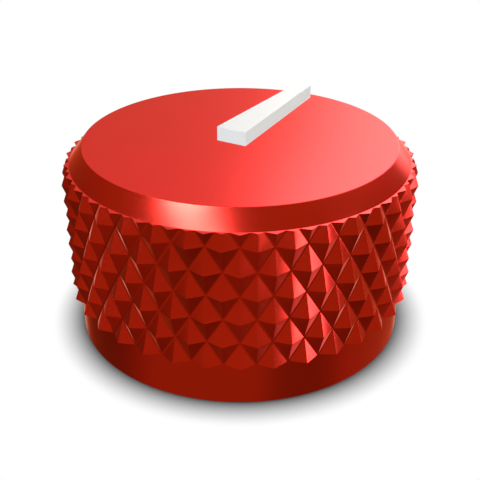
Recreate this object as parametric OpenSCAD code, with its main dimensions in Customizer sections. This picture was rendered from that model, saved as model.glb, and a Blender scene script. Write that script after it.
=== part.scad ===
/* [Body] */
// Diameter of the plain collar
collar_d = 27; // [22:0.5:40]
// Height of the body, up to its flat top
body_h = 15.6; // [14:0.1:22]
// Height of the plain collar below the knurl
collar_h = 3.5; // [2:0.05:5]
// Edge break round the foot
foot_break = 0.05; // [0.05:0.05:0.5]

/* [Top chamfer] */
// Width of the chamfer, seen from above
chamfer_w = 1.05; // [0.5:0.05:2]
// Height of the chamfer, along the axis
chamfer_h = 1.35; // [0.5:0.05:2]

/* [Knurl] */
// Number of diamonds in one turn
diamond_count = 36; // [28:1:44]
// Angle between the grooves and the axis, in degrees
groove_angle = 31.6; // [28:0.1:36]
// Height of a diamond's point above the groove floors
diamond_h = 0.65; // [0.3:0.05:0.8]
// Width of the plain floor along each groove
groove_floor_w = 0.12; // [0.06:0.02:0.2]
// Height of the groove floors above the collar
floor_step = 0.05; // [0.05:0.01:0.1]
// Angle from the pointer to the nearest column of diamonds, in degrees
knurl_turn = 0.4; // [0:0.1:5]

/* [Shaft bore] */
// Diameter of the shaft that the knob fits
shaft_d = 6; // [4:0.05:8]
// Clearance between shaft and bore, on the radius
shaft_clearance = 0.025; // [0.01:0.005:0.05]
// Thickness left between the end of the bore and the top
bore_roof = 3.6; // [3:0.1:5]
// Lead-in chamfer at the bore's mouth
bore_lead = 0.5; // [0.2:0.05:0.8]
// Angle of the point that the drill leaves, in degrees
drill_angle = 118; // [110:1:140]

/* [Nut recess] */
// Diameter of the recess that clears the panel nut
recess_d = 14; // [12:0.5:18]
// Depth of the recess
recess_h = 2.5; // [1.5:0.1:3.5]
// Edge break round the recess's mouth
recess_break = 0.3; // [0.1:0.05:0.5]

/* [Pointer] */
// Length of the pointer behind the knob's axis
pointer_tail = 1.4; // [0.5:0.05:3]
// Distance from the pointer's outer end to the rim of the flat top
pointer_inset = 0.85; // [0.3:0.05:3]
// Width of the pointer's inner end
pointer_tail_w = 2.55; // [1.8:0.05:4]
// Width of the pointer's outer end
pointer_tip_w = 1.35; // [1.2:0.05:2.4]
// Height of the pointer above the flat top
pointer_h = 1.15; // [0.6:0.05:2]

/* [Pointer pegs] */
// Diameter of the two pegs under the pointer
peg_d = 1; // [0.6:0.05:1.2]
// Length of the pegs
peg_h = 1.4; // [0.8:0.05:1.6]
// Distance from the knob's axis to the inner peg
peg_inner = 4.2; // [3.6:0.1:5]
// Distance from the pointer's outer end to the outer peg
peg_outer = 2.3; // [1.5:0.1:3]
// Clearance round each peg, on the radius
peg_clearance = 0.02; // [0.01:0.005:0.04]
// Depth left below each peg in its hole
peg_room = 0.2; // [0.1:0.05:0.4]

/* [Grub screw] */
// Thread diameter of the grub screw
screw_d = 3; // [2.5:0.1:4]
// Clearance between screw and tapped hole, on the radius
screw_clearance = 0.02; // [0.01:0.005:0.04]
// Distance from the bore's wall to the point of the backed-off screw
screw_backoff = 0.275; // [0.1:0.025:1]
// Depth of the screw's outer end below the collar's surface
screw_inset = 2.2; // [1:0.1:4]
// Chamfer on both ends of the screw
screw_chamfer = 0.4; // [0.2:0.05:0.6]
// Depth of the cup in the screw's point
cup_depth = 0.6; // [0.3:0.05:0.8]
// Width of the flat ring round the cup
cup_rim = 0.15; // [0.1:0.05:0.3]
// Width across the flats of the socket
socket_af = 1.5; // [1.3:0.1:2]
// Depth of the socket's flats
socket_depth = 2; // [1.5:0.1:3]
// Depth of the countersink at the hole's mouth, below the diamonds' points
sink_depth = 0.6; // [0.3:0.05:1]

/* [Hidden] */

// How many sides the round sections have
round_fn = 96;
// How far a cutting shape runs past the face that it opens
overrun = 1;

// Turned form
collar_r = collar_d / 2;
top_r = collar_r - chamfer_w;
knurl_top = body_h - chamfer_h;
bore_r = shaft_d / 2 + shaft_clearance;
bore_end = body_h - bore_roof;
recess_r = recess_d / 2;

// Knurl: half a diamond is one step round the knob and one step up it
columns = 2 * diamond_count;
column_angle = 360 / columns;
floor_r = collar_r + floor_step;
point_r = floor_r + diamond_h;
column_w = PI * floor_r / diamond_count;
row_h = column_w / tan(groove_angle);
// The lowest whole row of points lies a hair below the cut at the collar's top
point_drop = 0.03;
first_row_z = collar_h - point_drop - row_h;
rows = floor((knurl_top - first_row_z) / row_h) + 1;
// Where two grooves cross, their floors share a small rhombus
crossing_half_h = groove_floor_w / 2 / sin(groove_angle);
crossing_half_angle = groove_floor_w / 2 / cos(groove_angle) / floor_r * 180 / PI;
// The order of that rhombus's corners, seen from outside the knob
right = 0;
upper = 1;
left = 2;
lower = 3;
corner_count = 4;

// Pointer
pointer_reach = top_r - pointer_inset;
peg_r = peg_d / 2;
peg_places = [peg_inner, pointer_reach - peg_outer];

// Grub screw, halfway up the bore
screw_r = screw_d / 2;
screw_z = (recess_h + bore_end) / 2;
screw_start = bore_r + screw_backoff;
screw_l = collar_r - screw_inset - screw_start;
tapped_r = screw_r + screw_clearance;
cup_r = screw_r - screw_chamfer - cup_rim;
// The socket is a hexagon
socket_sides = 6;
socket_corner_r = socket_af / 2 / cos(180 / socket_sides);
socket_drill_r = socket_af / 2;
socket_drill_h = socket_drill_r / tan(drill_angle / 2);

// Diamond points and groove crossings take turns, along each row and up each column
function is_point(column, row) = (column + row) % 2 == 1;
function place_round(r, angle, z) = [r * cos(angle), r * sin(angle), z];
// A diamond has one point, and a crossing has its rhombus's corners
function knurl_places(column, row) =
    let (angle = 90 - knurl_turn + column * column_angle,
         z = first_row_z + row * row_h)
    is_point(column, row)
        ? [place_round(point_r, angle, z)]
        : [place_round(floor_r, angle + crossing_half_angle, z),
           place_round(floor_r, angle, z + crossing_half_h),
           place_round(floor_r, angle - crossing_half_angle, z),
           place_round(floor_r, angle, z - crossing_half_h)];
// A row holds pairs of a point and a crossing, which come in either order
function knurl_index(column, row, corner = 0) =
    let (c = column % columns,
         pair = row * diamond_count + floor(c / 2),
         passed = c % 2 == 0 ? 0 : is_point(c, row) ? corner_count : 1)
    pair * (corner_count + 1) + passed + corner;

// A cell lies between four neighbours: two points and the crossings at its other corners.
// It has a face of each of the two diamonds, the groove between them and half a rhombus.
function rising_cell(column, row) =
    let (near = knurl_index(column, row),
         far = knurl_index(column + 1, row + 1),
         low_left = knurl_index(column + 1, row, left),
         low_upper = knurl_index(column + 1, row, upper),
         high_right = knurl_index(column, row + 1, right),
         high_left = knurl_index(column, row + 1, left),
         high_lower = knurl_index(column, row + 1, lower))
    [[near, high_lower, low_left],
     [far, low_upper, high_right],
     [low_left, high_lower, high_right],
     [low_left, high_right, low_upper],
     [high_left, high_right, high_lower]];
function falling_cell(column, row) =
    let (near = knurl_index(column + 1, row),
         far = knurl_index(column, row + 1),
         low_right = knurl_index(column, row, right),
         low_upper = knurl_index(column, row, upper),
         low_left = knurl_index(column, row, left),
         high_left = knurl_index(column + 1, row + 1, left),
         high_lower = knurl_index(column + 1, row + 1, lower))
    [[near, low_right, high_lower],
     [far, high_left, low_upper],
     [low_upper, high_left, high_lower],
     [low_upper, high_lower, low_right],
     [low_left, low_upper, low_right]];
function cell_faces(column, row) =
    is_point(column, row) ? rising_cell(column, row) : falling_cell(column, row);
// The corners along one level row, in the order of rising angle
function ring(row) =
    [for (column = [0:columns - 1])
        each is_point(column, row)
            ? [knurl_index(column, row)]
            : [knurl_index(column, row, left), knurl_index(column, row, right)]];
function reversed(list) = [for (i = [len(list) - 1:-1:0]) list[i]];

// Rows of diamonds on a solid core, running past both ends of the knurl
module diamond_rows() {
    polyhedron(
        points = [for (row = [0:rows], column = [0:columns - 1]) each knurl_places(column, row)],
        faces = concat(
            [for (row = [0:rows - 1], column = [0:columns - 1]) each cell_faces(column, row)],
            [ring(0), reversed(ring(rows))]
        ),
        convexity = 10
    );
}

// The same rows, turned off flat at the collar's top and at the chamfer's foot
module knurl() {
    intersection() {
        diamond_rows();
        translate([0, 0, collar_h])
            cylinder(r = point_r + overrun, h = knurl_top - collar_h, $fn = round_fn);
    }
}

// Collar, chamfer and flat top, as turned before the knurl
module turned_blank() {
    rotate_extrude($fn = round_fn)
        polygon([
            [0, 0],
            [collar_r - foot_break, 0],
            [collar_r, foot_break],
            [collar_r, knurl_top],
            [top_r, body_h],
            [0, body_h]
        ]);
}

// What is bored from below: nut recess, lead-in, bore and drill point
module bored_from_below() {
    rotate_extrude($fn = round_fn)
        polygon([
            [0, -overrun],
            [recess_r + recess_break + overrun, -overrun],
            [recess_r, recess_break],
            [recess_r, recess_h],
            [bore_r + bore_lead, recess_h],
            [bore_r, recess_h + bore_lead],
            [bore_r, bore_end],
            [0, bore_end + bore_r / tan(drill_angle / 2)]
        ]);
}

// Tapped hole from the knurl into the bore, with a countersunk mouth
module screw_hole() {
    translate([0, 0, screw_z]) rotate([-90, 0, 0]) {
        cylinder(r = tapped_r, h = point_r + overrun, $fn = round_fn);
        translate([0, 0, point_r - sink_depth])
            cylinder(r1 = tapped_r, r2 = tapped_r + sink_depth + overrun,
                     h = sink_depth + overrun, $fn = round_fn);
    }
}

module peg_holes() {
    for (y = peg_places)
        translate([0, y, body_h - peg_h - peg_room])
            cylinder(r = peg_r + peg_clearance, h = peg_h + peg_room + overrun, $fn = round_fn);
}

module knob_body() {
    color("firebrick")
    difference() {
        union() {
            turned_blank();
            knurl();
        }
        bored_from_below();
        screw_hole();
        peg_holes();
    }
}

// Tapered bar on the flat top, held by two pegs
module pointer() {
    color("whitesmoke")
    union() {
        translate([0, 0, body_h])
            linear_extrude(height = pointer_h)
                polygon([
                    [-pointer_tail_w / 2, -pointer_tail],
                    [pointer_tail_w / 2, -pointer_tail],
                    [pointer_tip_w / 2, pointer_reach],
                    [-pointer_tip_w / 2, pointer_reach]
                ]);
        for (y = peg_places)
            translate([0, y, body_h - peg_h])
                cylinder(r = peg_r, h = peg_h + pointer_h / 2, $fn = round_fn);
    }
}

// Headless screw: cup point towards the shaft, hexagon socket outwards
module grub_screw() {
    color("dimgray")
    translate([0, screw_start, screw_z]) rotate([-90, 0, 0])
        difference() {
            rotate_extrude($fn = round_fn)
                polygon([
                    [0, cup_depth],
                    [cup_r, 0],
                    [screw_r - screw_chamfer, 0],
                    [screw_r, screw_chamfer],
                    [screw_r, screw_l - screw_chamfer],
                    [screw_r - screw_chamfer, screw_l],
                    [0, screw_l]
                ]);
            translate([0, 0, screw_l - socket_depth])
                cylinder(r = socket_corner_r, h = socket_depth + overrun, $fn = socket_sides);
            translate([0, 0, screw_l - socket_depth - socket_drill_h])
                cylinder(r1 = 0, r2 = socket_drill_r, h = socket_drill_h, $fn = round_fn);
        }
}

knob_body();
pointer();
grub_screw();
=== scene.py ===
import bmesh
import bpy
import numpy as np
from mathutils import Matrix, Vector


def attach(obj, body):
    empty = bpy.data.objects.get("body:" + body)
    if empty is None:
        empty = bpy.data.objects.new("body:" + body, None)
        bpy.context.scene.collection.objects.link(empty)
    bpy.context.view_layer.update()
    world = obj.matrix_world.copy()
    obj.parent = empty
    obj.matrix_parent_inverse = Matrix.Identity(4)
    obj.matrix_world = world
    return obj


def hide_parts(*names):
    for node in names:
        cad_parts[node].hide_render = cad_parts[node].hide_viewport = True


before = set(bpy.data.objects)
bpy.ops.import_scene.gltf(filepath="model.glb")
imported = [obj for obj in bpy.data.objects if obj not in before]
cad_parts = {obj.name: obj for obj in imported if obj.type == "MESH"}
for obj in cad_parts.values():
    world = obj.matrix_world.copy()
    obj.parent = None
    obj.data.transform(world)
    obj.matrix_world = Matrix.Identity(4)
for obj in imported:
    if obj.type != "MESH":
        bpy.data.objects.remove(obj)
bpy.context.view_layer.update()        # knob_body, pointer and grub_screw, all on the one body "root"

# Shapes are worked out in millimetres, +Z up, and each finished mesh is turned to metres once
millimetre = 0.001
mergeDistance = 1e-5      # points this close, in millimetres, are one point
roundSteps = 4            # straight steps round a rounded corner
smoothAngle = 30          # faces that meet at less than this, in degrees, are shaded as one


# One object from arrays of points and faces. Points that coincide are merged, so poles and
# seams close, and the faces are turned outwards.
def meshPiece(name, points, faces):
    mesh = bpy.data.meshes.new(name)
    mesh.from_pydata(points.reshape(-1, 3), [], faces.tolist())
    work = bmesh.new()
    work.from_mesh(mesh)
    bmesh.ops.remove_doubles(work, verts=work.verts, dist=mergeDistance)
    bmesh.ops.recalc_face_normals(work, faces=work.faces)
    work.to_mesh(mesh)
    work.free()
    piece = bpy.data.objects.new(name, mesh)
    bpy.context.scene.collection.objects.link(piece)
    return piece


# Four-sided faces between the neighbours on a grid of points, closed from its last column to its first
def gridFaces(rowCount, columnCount):
    row, column = np.mgrid[0:rowCount - 1, 0:columnCount]
    following = (column + 1) % columnCount
    corners = [row * columnCount + column, row * columnCount + following,
               (row + 1) * columnCount + following, (row + 1) * columnCount + column]
    return np.stack(corners, -1).reshape(-1, 4)


# Each inner corner of an outline becomes a short curve: from `back` before the corner to `back`
# after it, as (1 - t)^2 start + 2 t (1 - t) corner + t^2 end.
def roundCorners(corners, back):
    corners = np.array(corners, float)
    middle = corners[1:-1]
    towards = corners[:-2] - middle
    onwards = corners[2:] - middle
    towards /= np.linalg.norm(towards, axis=1, keepdims=True)
    onwards /= np.linalg.norm(onwards, axis=1, keepdims=True)
    back = np.broadcast_to(back, len(middle))[:, None]
    start, end = middle + towards * back, middle + onwards * back
    t = np.linspace(0, 1, roundSteps + 1)[None, :, None]
    curve = (1 - t) ** 2 * start[:, None] + 2 * t * (1 - t) * middle[:, None] + t ** 2 * end[:, None]
    return np.concatenate([corners[:1], curve.reshape(-1, 2), corners[-1:]])


# A profile of (radius, height) carried once round the Z axis: x = r cos a, y = r sin a, z = height
def turnedPiece(name, profile, steps):
    radius, height = np.array(profile, float).T
    angle = np.arange(steps) * 2 * np.pi / steps
    points = np.stack([radius[:, None] * np.cos(angle), radius[:, None] * np.sin(angle),
                       np.repeat(height[:, None], steps, 1)], -1)
    return meshPiece(name, points, gridFaces(len(profile), steps))


# Cuts a tube flat at two heights and closes its ends
def cutFlat(piece, low, high):
    work = bmesh.new()
    work.from_mesh(piece.data)
    for height, side in ((low, -1), (high, 1)):
        geometry = list(work.verts) + list(work.edges) + list(work.faces)
        bmesh.ops.bisect_plane(work, geom=geometry, dist=mergeDistance, plane_co=(0, 0, height),
                               plane_no=(0, 0, side), clear_outer=True)
    bmesh.ops.holes_fill(work, edges=[edge for edge in work.edges if edge.is_boundary], sides=0)
    bmesh.ops.recalc_face_normals(work, faces=work.faces)
    work.to_mesh(piece.data)
    work.free()


def moveMesh(piece, matrix):
    piece.data.transform(matrix)
    return piece


def applyModifiers(piece):
    bpy.context.view_layer.update()
    seen = piece.evaluated_get(bpy.context.evaluated_depsgraph_get())
    mesh = bpy.data.meshes.new_from_object(seen)
    piece.modifiers.clear()
    piece.data = mesh


# Joins, cuts or crosses a piece with another, which is used up
def combine(piece, tool, operation):
    change = piece.modifiers.new("combine", "BOOLEAN")
    change.object = tool
    change.operation = operation
    change.solver = "MANIFOLD"
    applyModifiers(piece)
    bpy.data.objects.remove(tool)


# Turns the mesh to metres, shades it smooth up to its real edges and ties it to the frame
def finishPiece(piece, material, node):
    moveMesh(piece, Matrix.Scale(millimetre, 4))
    piece.data.shade_smooth()
    piece.data.set_sharp_from_angle(angle=np.radians(smoothAngle))
    weighted = piece.modifiers.new("facets keep their own normal", "WEIGHTED_NORMAL")
    weighted.keep_sharp = True
    piece.data.materials.clear()
    piece.data.materials.append(material)
    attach(piece, "root")
    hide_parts(node)
    piece.visible_glossy = False       # each surface mirrors the studio and not its neighbours
    print(piece.name, "has", len(piece.data.vertices), "points")


def linear(hexColour):
    share = np.array([int(hexColour[i:i + 2], 16) for i in (1, 3, 5)]) / 255
    light = np.where(share <= 0.04045, share / 12.92, ((share + 0.055) / 1.055) ** 2.4)
    return (*light.tolist(), 1.0)


# Adds a node, sets its properties, and gives each named or numbered input a value or a link.
# A Mix node takes its share at input 0 and its two colours at 6 and 7, and gives colour at output 2.
def add(tree, kind, inputs=None, **settings):
    node = tree.nodes.new("ShaderNode" + kind)
    for key, value in settings.items():
        setattr(node, key, value)
    for key, value in (inputs or {}).items():
        if isinstance(value, bpy.types.NodeSocket):
            tree.links.new(value, node.inputs[key])
        else:
            node.inputs[key].default_value = value
    return node


def newMaterial(name):
    material = bpy.data.materials.new(name)
    material.use_nodes = True
    material.node_tree.nodes.clear()
    return material, material.node_tree


# Red anodised aluminium: turned, knurled, then dyed. The metal gives its reflections the dye's deep
# red, and the clear oxide over it adds a thin white gloss where a lamp stands in it.
def redAnodisedAluminium():
    look = {
        "red": "#BC180C",
        "deepRed": "#B5170C",
        "edgeTint": "#FF5058",     # keeps the metal red where it is seen edge-on
        "roughness": 0.17,
        "roughnessSpread": 0.05,
        "oxideGloss": 0.24,
        "oxideIor": 1.7,           # of aluminium oxide
        "oxideRoughness": 0.22,
        "markWidth": 0.3,          # real feed marks are 0.05 mm apart; this coarse so that they show
        "markDepth": 0.0006,
        "cloudWidth": 4.0,         # of the slow changes in the dye's depth
    }
    material, tree = newMaterial("red anodised aluminium")
    position = add(tree, "TexCoord").outputs["Object"]
    split = add(tree, "SeparateXYZ", {0: position})
    flat = add(tree, "CombineXYZ", {0: split.outputs[0], 1: split.outputs[1]})
    radius = add(tree, "VectorMath", {0: flat.outputs[0]}, operation="LENGTH")
    section = add(tree, "CombineXYZ", {0: radius.outputs["Value"], 1: split.outputs[2]})
    marks = add(tree, "TexNoise", {"Vector": section.outputs[0], "Detail": 3.0,
                                   "Scale": 1 / (look["markWidth"] * millimetre)})
    clouds = add(tree, "TexNoise", {"Vector": position, "Detail": 2.0,
                                    "Scale": 1 / (look["cloudWidth"] * millimetre)})
    colour = add(tree, "Mix", {0: clouds.outputs[0], 6: linear(look["red"]), 7: linear(look["deepRed"])},
                 data_type="RGBA")
    roughness = add(tree, "MapRange", {"Value": marks.outputs[0], "To Min": look["roughness"],
                                       "To Max": look["roughness"] + look["roughnessSpread"]})
    bump = add(tree, "Bump", {"Height": marks.outputs[0], "Strength": 1.0,
                              "Distance": look["markDepth"] * millimetre})
    shader = add(tree, "BsdfPrincipled", {
        "Base Color": colour.outputs[2], "Metallic": 1.0, "Roughness": roughness.outputs[0],
        "Specular Tint": linear(look["edgeTint"]), "Normal": bump.outputs[0],
        "Coat Weight": look["oxideGloss"], "Coat Roughness": look["oxideRoughness"],
        "Coat IOR": look["oxideIor"], "Coat Normal": bump.outputs[0]})
    add(tree, "OutputMaterial", {"Surface": shader.outputs[0]})
    return material


# White ABS, injection moulded: an even, clean white with a soft gloss and a very fine grain
def whiteMouldedAbs():
    look = {
        "white": "#F7F9FD",
        "shade": "#F2F4F8",
        "roughness": 0.34,
        "roughnessSpread": 0.04,
        "ior": 1.53,
        "grainWidth": 0.12,
        "grainDepth": 0.0015,
        "cloudWidth": 1.2,
    }
    material, tree = newMaterial("white moulded ABS")
    position = add(tree, "TexCoord").outputs["Object"]
    grain = add(tree, "TexNoise", {"Vector": position, "Detail": 3.0,
                                   "Scale": 1 / (look["grainWidth"] * millimetre)})
    clouds = add(tree, "TexNoise", {"Vector": position, "Scale": 1 / (look["cloudWidth"] * millimetre)})
    colour = add(tree, "Mix", {0: clouds.outputs[0], 6: linear(look["white"]), 7: linear(look["shade"])},
                 data_type="RGBA")
    roughness = add(tree, "MapRange", {"Value": grain.outputs[0],
                                       "To Min": look["roughness"] - look["roughnessSpread"],
                                       "To Max": look["roughness"] + look["roughnessSpread"]})
    bump = add(tree, "Bump", {"Height": grain.outputs[0], "Strength": 1.0,
                              "Distance": look["grainDepth"] * millimetre})
    shader = add(tree, "BsdfPrincipled", {
        "Base Color": colour.outputs[2], "Roughness": roughness.outputs[0],
        "Normal": bump.outputs[0], "IOR": look["ior"]})
    add(tree, "OutputMaterial", {"Surface": shader.outputs[0]})
    return material


# Black oxide on steel: a thin dark skin, oiled, that keeps the metal's soft shine
def blackOxideSteel():
    look = {
        "black": "#2A2A2D",
        "worn": "#4A4A4C",
        "roughness": 0.38,
        "roughnessSpread": 0.08,
        "speckWidth": 0.25,
    }
    material, tree = newMaterial("black oxide steel")
    position = add(tree, "TexCoord").outputs["Object"]
    specks = add(tree, "TexNoise", {"Vector": position, "Detail": 4.0,
                                    "Scale": 1 / (look["speckWidth"] * millimetre)})
    colour = add(tree, "Mix", {0: specks.outputs[0], 6: linear(look["black"]), 7: linear(look["worn"])},
                 data_type="RGBA")
    roughness = add(tree, "MapRange", {"Value": specks.outputs[0],
                                       "To Min": look["roughness"] - look["roughnessSpread"],
                                       "To Max": look["roughness"] + look["roughnessSpread"]})
    shader = add(tree, "BsdfPrincipled", {"Base Color": colour.outputs[2], "Metallic": 1.0,
                                          "Roughness": roughness.outputs[0]})
    add(tree, "OutputMaterial", {"Surface": shader.outputs[0]})
    return material


knurl = {
    "diamondCount": 36,
    "grooveAngle": 31.6,      # degrees between a groove and the axis
    "pointHeight": 0.65,
    "floorStep": 0.05,        # groove floors above the collar
    "floorWidth": 0.12,
    "pointDrop": 0.03,        # of the lowest whole row of points below the collar's top
    "turn": 0.4,              # degrees from the pointer to the nearest column
    "edgeRound": 0.008,       # half width of a rounded ridge, as a share of half a diamond
    "edgeRoom": 0.22,         # the most of a ring's side that a ridge's own points may take
    "valleyRound": 0.006,     # height over which a facet runs out into the groove's floor
    "rings": [0, 0.03, 0.07, 0.15, 0.42, 0.70, 0.90, 0.925, 0.94, 0.965, 1.0],   # out from a point
}


# The diamonds as one tube. A diamond is a set of rhombus rings about its point. With a and b the
# steps across and up from the point, in half diamonds, and g the share of a half diamond that the
# groove's floor takes, the height above the floor is point height times (1 - (|a| + |b|) / (1 - g)),
# and nothing where that is below 0. |a| and |b| turn round at 0 over the ridge's rounding.
def knurledTube(name):
    bottom, top = knob["collarHeight"], knob["bodyHeight"] - knob["chamferHeight"]
    floorRadius = knob["collarRadius"] + knurl["floorStep"]
    halfAngle = np.pi / knurl["diamondCount"]
    halfWidth = floorRadius * halfAngle
    halfRise = halfWidth / np.tan(np.radians(knurl["grooveAngle"]))
    floorShare = knurl["floorWidth"] / 2 / (halfRise * np.sin(np.radians(knurl["grooveAngle"])))
    lowestPoint = bottom - knurl["pointDrop"] - halfRise
    rowCount = int((top - lowestPoint) / halfRise) + 2

    # places along a ring's side, close together beside the ridges at its two corners
    ridge = knurl["edgeRound"]
    rings = np.array(knurl["rings"])
    innermost = 1e-3           # the ring of no size at the point is counted as this one
    near = np.minimum(ridge / np.maximum(rings, innermost), knurl["edgeRoom"])
    near = near[:, None] * np.array([0, 0.5, 1])
    halfway = np.full((len(rings), 1), 0.5)
    side = np.concatenate([near, halfway, 1 - near[:, :0:-1]], 1)[:, None, :, None]
    corners = np.array([[1, 0], [0, 1], [-1, 0], [0, -1]])[None, :, None, :]
    template = rings[:, None, None, None] * ((1 - side) * corners + side * np.roll(corners, -1, 1))
    template = template.reshape(len(rings), -1, 2)
    across, up = template[..., 0], template[..., 1]

    rounded = np.where(np.abs(template) < ridge, template ** 2 / (2 * ridge) + ridge / 2, np.abs(template))
    rise = knurl["pointHeight"] * (1 - rounded.sum(-1) / (1 - floorShare))
    height = (rise + np.sqrt(rise ** 2 + knurl["valleyRound"] ** 2)) / 2

    row, column = np.mgrid[0:rowCount, 0:2 * knurl["diamondCount"]]
    isPoint = (row + column) % 2 == 1
    row, column = row[isPoint][:, None, None], column[isPoint][:, None, None]
    angle = np.radians(90 - knurl["turn"]) + (column + across) * halfAngle
    radius = floorRadius + np.broadcast_to(height, angle.shape)
    points = np.stack([radius * np.cos(angle), radius * np.sin(angle),
                       lowestPoint + (row + up) * halfRise], -1)
    ringCount, aroundCount = height.shape
    first = np.arange(len(points))[:, None, None] * ringCount * aroundCount
    faces = (gridFaces(ringCount, aroundCount)[None] + first).reshape(-1, 4)
    tube = meshPiece(name, points, faces)
    cutFlat(tube, bottom, top)
    return tube


screw = {
    "height": 7.25,           # of its axis above the foot
    "start": 3.3,             # its point, from the knob's axis
    "length": 8.0,
    "radius": 1.5,
    "pitch": 0.5,             # M3 coarse thread
    "threadDepth": 0.28,
    "threadPlaces": [0, 0.125, 0.4375, 0.6875],   # where crest, flank, root and flank begin in a pitch
    "spareTurns": 2,          # past each end, which is then cut flat
    "clearance": 0.02,
    "chamfer": 0.4,
    "cupDepth": 0.6,
    "cupRadius": 0.95,
    "socketSides": 6,
    "socketFlats": 1.5,
    "socketDepth": 2.0,
    "socketPoint": 0.5,       # depth of the drill's point below the socket, in socket radii
    "holeStart": 0.5,         # of the tapped hole, inside the bore
    "sinkDepth": 0.6,
    "turnSteps": 72,
}


# A threaded rod along Z from one height to another. Its rows follow the helix: the height of row j
# is j's place in the pitch plus pitch times turns, so the seam closes one pitch further on.
# The radius is flat on the crest and the root; the flanks stand at about 60 degrees to each other.
def threadedRod(name, low, high, radius):
    pitch, spare = screw["pitch"], screw["spareTurns"]
    places = np.array(screw["threadPlaces"])
    depths = np.array([0, 0, screw["threadDepth"], screw["threadDepth"]])
    turns = np.arange(int(low / pitch) - spare, int(high / pitch) + spare)
    start = ((turns[:, None] + places) * pitch).reshape(-1, 1)
    across = np.tile(radius - depths, len(turns)).reshape(-1, 1)
    turn = np.linspace(0, 1, screw["turnSteps"] + 1)[None]
    angle = 2 * np.pi * turn
    points = np.stack([across * np.cos(angle), across * np.sin(angle), start + pitch * turn], -1)
    rows, columns = points.shape[:2]
    faces = gridFaces(rows, columns).reshape(rows - 1, columns, 4)[:, :-1].reshape(-1, 4)
    rod = meshPiece(name, points, faces)
    cutFlat(rod, low, high)
    return rod


# From an axis along +Z to the screw's own, which runs outwards along +Y
def ontoScrewAxis():
    return Matrix.Translation((0, 0, screw["height"])) @ Matrix.Rotation(np.radians(-90), 4, "X")


# Headless screw: a threaded rod within an envelope that gives its point, chamfers and flat end,
# with the cup towards the shaft and the hexagon socket outwards
def buildScrew(material):
    size = screw
    length, radius, chamfer = size["length"], size["radius"], size["chamfer"]
    spare = 1                  # the rod runs this far past both ends of its envelope
    outside = 0.1              # and the envelope this far past the thread's crests
    rod = threadedRod("grub_screw_visual", size["start"] - spare, size["start"] + length + spare, radius)
    envelope = turnedPiece("envelope", np.array([
        [0, size["cupDepth"]], [size["cupRadius"], 0], [radius - chamfer, 0],
        [radius + outside, chamfer + outside], [radius + outside, length - chamfer - outside],
        [radius - chamfer, length], [0, length],
    ]) + [0, size["start"]], size["turnSteps"])
    combine(rod, envelope, "INTERSECT")
    corner = size["socketFlats"] / 2 / np.cos(np.pi / size["socketSides"])
    deep = size["start"] + length - size["socketDepth"]
    socket = turnedPiece("socket", [[0, deep - corner * size["socketPoint"]], [corner, deep],
                                    [corner, deep + length], [0, deep + length]], size["socketSides"])
    combine(rod, socket, "DIFFERENCE")
    moveMesh(rod, ontoScrewAxis())
    finishPiece(rod, material, "grub_screw")


pointer = {
    "tail": -1.4,             # inner end, along the pointer from the knob's axis
    "reach": 11.6,            # outer end
    "tailWidth": 2.55,
    "tipWidth": 1.35,
    "height": 1.15,
    "edgeRound": 0.05,
    "cornerSteps": 6,
    "pegPlaces": [4.2, 9.3],
    "pegRadius": 0.5,
    "pegLength": 1.4,
    "pegRound": 0.08,
    "pegClearance": 0.02,
    "pegRoom": 0.2,
    "pegSteps": 48,
}


# A tapered bar on two pegs. Each level of the bar is an arc about its four corners, inset by the
# rounding; the arcs stay wide up the walls and close in over the top edge, as radius times cos t
# across and radius times sin t up.
def buildPointer(material):
    size = pointer
    low, high = knob["bodyHeight"], knob["bodyHeight"] + size["height"]
    rounding = size["edgeRound"]
    tail, tip = size["tailWidth"] / 2 - rounding, size["tipWidth"] / 2 - rounding
    near, far = size["tail"] + rounding, size["reach"] - rounding
    corners = np.array([[-tail, near], [tail, near], [tip, far], [-tip, far]])
    quarter = np.linspace(0, np.pi / 2, size["cornerSteps"] + 1)
    angle = np.pi + np.arange(len(corners))[:, None] * np.pi / 2 + quarter
    arc = np.stack([np.cos(angle), np.sin(angle)], -1).reshape(-1, 2)
    centres = np.repeat(corners, len(quarter), 0)
    middle = np.broadcast_to([0, (near + far) / 2], centres.shape)
    widths = np.concatenate([[rounding], rounding * np.cos(quarter)])[:, None, None]
    levels = np.concatenate([middle[None], centres + widths * arc, middle[None]])
    heights = np.concatenate([[low, low], high - rounding + rounding * np.sin(quarter), [high]])
    points = np.dstack([levels, np.broadcast_to(heights[:, None], levels.shape[:2])])
    bar = meshPiece("pointer_visual", points, gridFaces(*levels.shape[:2]))
    for distance in size["pegPlaces"]:
        start = low - size["pegLength"]
        end = low + size["height"] / 2
        peg = turnedPiece("peg", roundCorners([[0, start], [size["pegRadius"], start],
                                               [size["pegRadius"], end], [0, end]],
                                              size["pegRound"]), size["pegSteps"])
        combine(bar, moveMesh(peg, Matrix.Translation((0, distance, 0))), "UNION")
    finishPiece(bar, material, "pointer")


knob = {
    "collarRadius": 13.5,
    "collarHeight": 3.5,
    "bodyHeight": 15.6,
    "chamferWidth": 1.05,
    "chamferHeight": 1.35,
    "footBreak": 0.05,
    "footRound": 0.02,        # how far back from a turned corner its rounding starts, here and below
    "topRound": 0.05,
    "innerRound": 0.05,
    "recessFloorRound": 0.15,
    "recessRadius": 7.0,
    "recessDepth": 2.5,
    "recessBreak": 0.3,
    "boreRadius": 3.025,
    "boreEnd": 12.0,
    "boreLead": 0.5,
    "drillAngle": 118.0,
    "overrun": 1.0,           # how far a cutting shape runs past the face that it opens
    "turnSteps": 288,
    "boreSteps": 144,
}


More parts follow.
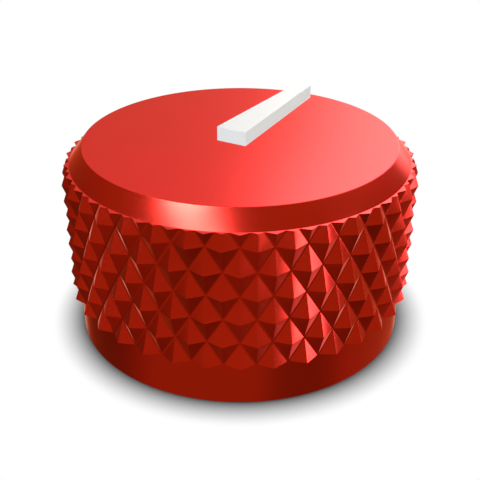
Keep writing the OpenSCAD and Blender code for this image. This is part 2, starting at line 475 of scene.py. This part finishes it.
# What is bored from below: nut recess, lead-in, bore and the drill's point
def boredFromBelow():
    size = knob
    drillRise = size["boreRadius"] / np.tan(np.radians(size["drillAngle"] / 2))
    inner = size["innerRound"]
    return turnedPiece("bored", roundCorners([
        [0, -size["overrun"]],
        [size["recessRadius"] + size["recessBreak"] + size["overrun"], -size["overrun"]],
        [size["recessRadius"], size["recessBreak"]], [size["recessRadius"], size["recessDepth"]],
        [size["boreRadius"] + size["boreLead"], size["recessDepth"]],
        [size["boreRadius"], size["recessDepth"] + size["boreLead"]],
        [size["boreRadius"], size["boreEnd"]], [0, size["boreEnd"] + drillRise],
    ], [0, inner, size["recessFloorRound"], inner, inner, inner]), size["boreSteps"])


# The tapped hole for the grub screw, and the countersink at its mouth in the knurl
def screwHoleParts():
    mouth = knob["collarRadius"] + knurl["floorStep"] + knurl["pointHeight"]
    end = mouth + knob["overrun"]
    hole = threadedRod("tapped", screw["holeStart"], end, screw["radius"] + screw["clearance"])
    sinkStart = screw["radius"] + screw["clearance"] - screw["threadDepth"]
    sinkBottom = mouth - screw["sinkDepth"] - screw["threadDepth"]
    sink = turnedPiece("sink", [[0, sinkBottom], [sinkStart, sinkBottom],
                                [sinkStart + (end - sinkBottom), end], [0, end]], screw["turnSteps"])
    return hole, sink


# The knob itself: a turned blank with the diamonds joined on, then bored, tapped and drilled
def buildKnob(material):
    size = knob
    foot, top = size["footBreak"], size["bodyHeight"]
    body = turnedPiece("knob_visual", roundCorners([
        [0, 0], [size["collarRadius"] - foot, 0], [size["collarRadius"], foot],
        [size["collarRadius"], top - size["chamferHeight"]],
        [size["collarRadius"] - size["chamferWidth"], top], [0, top],
    ], [size["footRound"], size["footRound"], 0, size["topRound"]]), size["turnSteps"])
    combine(body, knurledTube("diamonds"), "UNION")
    combine(body, boredFromBelow(), "DIFFERENCE")
    for part in screwHoleParts():
        combine(body, moveMesh(part, ontoScrewAxis()), "DIFFERENCE")
    for distance in pointer["pegPlaces"]:
        radius = pointer["pegRadius"] + pointer["pegClearance"]
        low, end = top - pointer["pegLength"] - pointer["pegRoom"], top + size["overrun"]
        hole = turnedPiece("peg hole", [[0, low], [radius, low], [radius, end], [0, end]],
                           pointer["pegSteps"])
        combine(body, moveMesh(hole, Matrix.Translation((0, distance, 0))), "DIFFERENCE")
    finishPiece(body, material, "knob_body")
    body.visible_diffuse = False       # no red light on the white pointer


view = {
    "azimuth": 29.62,         # of the camera from -Y, towards +X
    "elevation": 28.62,
    "distance": 69.15,
    "aimHeight": 6.33,
    "lens": 61.2,
    "sensorWidth": 36,
    "nearest": 1.0,           # of what the camera draws
    "farthest": 10000.0,
}


# From an azimuth to the right of the camera and an elevation, both in degrees
def direction(azimuth, elevation):
    turn, rise = np.radians(azimuth + view["azimuth"]), np.radians(elevation)
    return Vector((np.sin(turn) * np.cos(rise), -np.cos(turn) * np.cos(rise), np.sin(rise)))


def buildCamera():
    camera = bpy.data.objects.new("camera", bpy.data.cameras.new("camera"))
    bpy.context.scene.collection.objects.link(camera)
    camera.data.lens = view["lens"]
    camera.data.sensor_width = view["sensorWidth"]
    camera.data.clip_start = view["nearest"] * millimetre
    camera.data.clip_end = view["farthest"] * millimetre
    aim = Vector((0, 0, view["aimHeight"]))
    camera.location = (aim + direction(0, view["elevation"]) * view["distance"]) * millimetre
    camera.rotation_euler = direction(0, view["elevation"]).to_track_quat("Z", "Y").to_euler()
    bpy.context.scene.camera = camera


studio = {
    "ambient": 0.74,                   # world light that falls on matt surfaces
    "surroundColour": "#FFD470",       # what gloss sees all round, a warm room
}

# The room's brightness by height above the horizon, in degrees
surround = [(-90, 0.21), (-62, 0.36), (-50, 0.42), (-40, 0.54), (-28, 0.47), (-12, 0.68), (0, 0.63),
            (20, 0.57), (50, 0.67), (90, 0.54)]

# Soft white panels in it: degrees to the right of the camera, degrees up, half width in degrees and
# the brightness that they add. A negative one darkens the room there, in the room's own colour.
panels = [
    (160, 55, 60, 1.13),
    (171, 29, 9, 6.7),
    (154, 11, 24, 6.5),
    (-27, 36, 20, 15.3),
    (-54, 59, 18, 34),
    (94, -9, 14, 7.8),
    (71, 15, 15, 7.2),
    (142, -54, 22, 0.82),
    (47, -43, 28, -0.22),
    (-112, -21, 46, -0.31),
    (-166, -24, 24, 0.45),
    (166, -24, 22, 0.4),
    (180, -26, 14, 1.1),
]


# The world: plain white to the eye, an even ambient light on matt surfaces, and for gloss a studio
# of soft panels. A panel is a smooth step from 0 at its edge to 1 at its middle, by the cosine of
# the angle to it.
def buildWorld():
    world = bpy.data.worlds.new("studio")
    bpy.context.scene.world = world
    world.use_nodes = True
    tree = world.node_tree
    tree.nodes.clear()
    looking = add(tree, "TexCoord").outputs["Generated"]
    height = add(tree, "SeparateXYZ", {0: looking}).outputs[2]
    share = add(tree, "MapRange", {"Value": height, "From Min": -1.0, "From Max": 1.0}).outputs[0]
    ramp = add(tree, "ValToRGB", {0: share})
    stops = ramp.color_ramp.elements
    for elevation, _ in surround[1:-1]:
        stops.new((np.sin(np.radians(elevation)) + 1) / 2)
    brightest = max(level for _, level in surround)
    colour = np.array(linear(studio["surroundColour"])[:3])
    for stop, (_, level) in zip(stops, surround):
        stop.color = (*(colour * level / brightest), 1)
    total = add(tree, "VectorMath", {0: ramp.outputs[0], 1: (brightest,) * 3},
                operation="MULTIPLY").outputs[0]
    for azimuth, elevation, spread, level in panels:
        facing = add(tree, "VectorMath", {0: looking, 1: direction(azimuth, elevation)},
                     operation="DOT_PRODUCT")
        spot = add(tree, "MapRange", {"Value": facing.outputs["Value"], "From Max": 1.0,
                                      "From Min": float(np.cos(np.radians(spread)))},
                   interpolation_type="SMOOTHSTEP")
        added = (level,) * 3 if level > 0 else tuple(colour * level)
        total = add(tree, "VectorMath", {0: spot.outputs[0], 1: added, 2: total},
                    operation="MULTIPLY_ADD").outputs[0]
    ray = add(tree, "LightPath")
    gloss = add(tree, "Mix", {0: ray.outputs["Is Glossy Ray"], 6: (*(studio["ambient"],) * 3, 1), 7: total},
                data_type="RGBA").outputs[2]
    seen = add(tree, "Mix", {0: ray.outputs["Is Camera Ray"], 6: gloss, 7: (1, 1, 1, 1)},
               data_type="RGBA").outputs[2]
    shader = add(tree, "Background", {"Color": seen, "Strength": 1.0})
    add(tree, "OutputWorld", {"Surface": shader.outputs[0]})


floor = {
    "white": "#FFFFFF",       # to the eye
    "matt": "#E6E6E6",        # to the light that bounces off it
    "radius": 600.0,
    "innerRadius": 20.0,      # of the disc under the knob
    "gap": 0.01,              # below the foot
    "turnSteps": 96,
    "shadowReach": 3.2,       # how far the contact shadow spreads
    "shadowDepth": 0.06,      # what is left of the white where the shadow is deepest
    "shadowRange": [0.5, 0.95],   # share of open sky where it is deepest, and where it ends
    "shadowSamples": 32,
}


# Pale floor, a hair under the foot. To the eye it is white with the knob's contact shadow; gloss
# looks past it, and from below it is clear, so that the underside shows.
def buildFloor():
    level = -floor["gap"]
    disc = turnedPiece("floor", [[0, level], [floor["innerRadius"], level], [floor["radius"], level]],
                       floor["turnSteps"])
    disc.data.flip_normals()           # so that it faces up
    moveMesh(disc, Matrix.Scale(millimetre, 4))
    disc.visible_glossy = False
    deepest, ends = floor["shadowRange"]
    material, tree = newMaterial("pale studio floor")
    sky = add(tree, "AmbientOcclusion", {"Distance": floor["shadowReach"] * millimetre},
              samples=floor["shadowSamples"])
    shade = add(tree, "MapRange", {"Value": sky.outputs["AO"], "From Min": deepest, "From Max": ends,
                                   "To Min": floor["shadowDepth"], "To Max": 1.0})
    seen = add(tree, "Emission", {"Color": linear(floor["white"]), "Strength": shade.outputs[0]})
    matt = add(tree, "BsdfDiffuse", {"Color": linear(floor["matt"])})
    clear = add(tree, "BsdfTransparent")
    byRay = add(tree, "LightPath").outputs["Is Camera Ray"]
    above = add(tree, "MixShader", {0: byRay, 1: matt.outputs[0], 2: seen.outputs[0]})
    below = add(tree, "NewGeometry").outputs["Backfacing"]
    shader = add(tree, "MixShader", {0: below, 1: above.outputs[0], 2: clear.outputs[0]})
    add(tree, "OutputMaterial", {"Surface": shader.outputs[0]})
    disc.data.materials.append(material)


# Soft lamps for the matt surfaces: degrees to the right of the camera, degrees up, size, watts
lamps = [
    ("key", -35, 25, 120, 0.06),
    ("fill", 60, 15, 100, 0.02),
]
lampDistance = 200        # from the middle of the foot


def buildLamps():
    for name, azimuth, elevation, width, power in lamps:
        lamp = bpy.data.objects.new(name, bpy.data.lights.new(name, "AREA"))
        bpy.context.scene.collection.objects.link(lamp)
        lamp.data.energy = power
        lamp.data.size = width * millimetre
        lamp.location = direction(azimuth, elevation) * lampDistance * millimetre
        lamp.rotation_euler = direction(azimuth, elevation).to_track_quat("Z", "Y").to_euler()
        lamp.visible_camera = False
        lamp.visible_glossy = False


buildCamera()
buildWorld()
buildFloor()
buildLamps()
print("studio ready")
buildKnob(redAnodisedAluminium())
print("knob body ready")
buildPointer(whiteMouldedAbs())
buildScrew(blackOxideSteel())
print("pointer and screw ready")

bpy.context.scene.view_settings.view_transform = "Standard"
